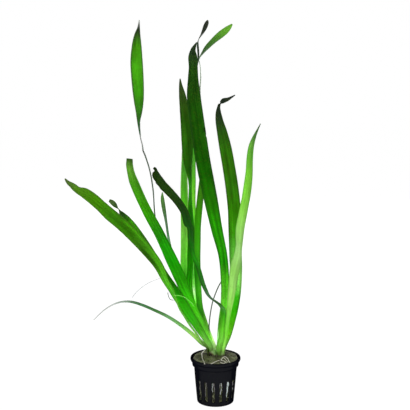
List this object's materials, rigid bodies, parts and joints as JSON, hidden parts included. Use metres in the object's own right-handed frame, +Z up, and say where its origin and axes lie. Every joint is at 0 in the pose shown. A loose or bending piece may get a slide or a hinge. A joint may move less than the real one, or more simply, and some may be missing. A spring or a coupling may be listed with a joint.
{
  "type": "potted giant vallisneria",
  "caption": "Aquarium plant with long ribbon leaves in two rosettes, rooted in a fibrous plug in a small black slotted net pot that stands on its flat base.",
  "frame": {"origin": "centre of the underside of the pot's floor", "axes": "+Z up along the pot's axis, -Y towards the viewer of the picture, +X to the viewer's right"},
  "size_m": [0.1949, 0.1368, 0.4154],
  "materials": {
    "black_plastic": "moulded black plastic with a soft sheen",
    "mineral_wool": "damp brown fibre plug",
    "pale_stem": "smooth pale green stem base",
    "dark_leaf": "thin translucent dark green blade",
    "black_green_leaf": "thin near-black green blade",
    "mid_leaf": "thin translucent mid green blade",
    "olive_leaf": "thin translucent olive green blade",
    "light_leaf": "thin translucent light green blade",
    "bright_leaf_tissue": "thin translucent yellow-green blade",
    "pale_root": "pale dry root"
  },
  "bodies": {
    "root": {"net_pot": "black_plastic", "growing_medium": "mineral_wool", "left_crown": "pale_stem", "right_crown": "pale_stem", "broad_left_leaf": "olive_leaf", "twisted_tip_leaf": "olive_leaf", "cut_tip_leaf": "mid_leaf", "half_twisted_leaf": "dark_leaf", "tall_ribbon_leaf": "mid_leaf", "pale_upright_leaf": "light_leaf", "slim_back_leaf": "mid_leaf", "bent_over_leaf": "olive_leaf", "pale_back_leaf": "light_leaf", "arching_slim_leaf": "mid_leaf", "crossing_dark_leaf": "black_green_leaf", "bright_leaf": "bright_leaf_tissue", "tall_dark_leaf": "dark_leaf", "dark_slim_leaf": "black_green_leaf", "hooked_tip_leaf": "olive_leaf", "slender_stalk": "dark_leaf", "pale_runner": "light_leaf", "dark_curl": "black_green_leaf", "root_thread": "pale_root", "surface_root_1": "pale_root", "surface_root_2": "pale_root", "surface_root_3": "pale_root", "surface_root_4": "pale_root", "surface_root_5": "pale_root"}
  },
  "joints": []
}
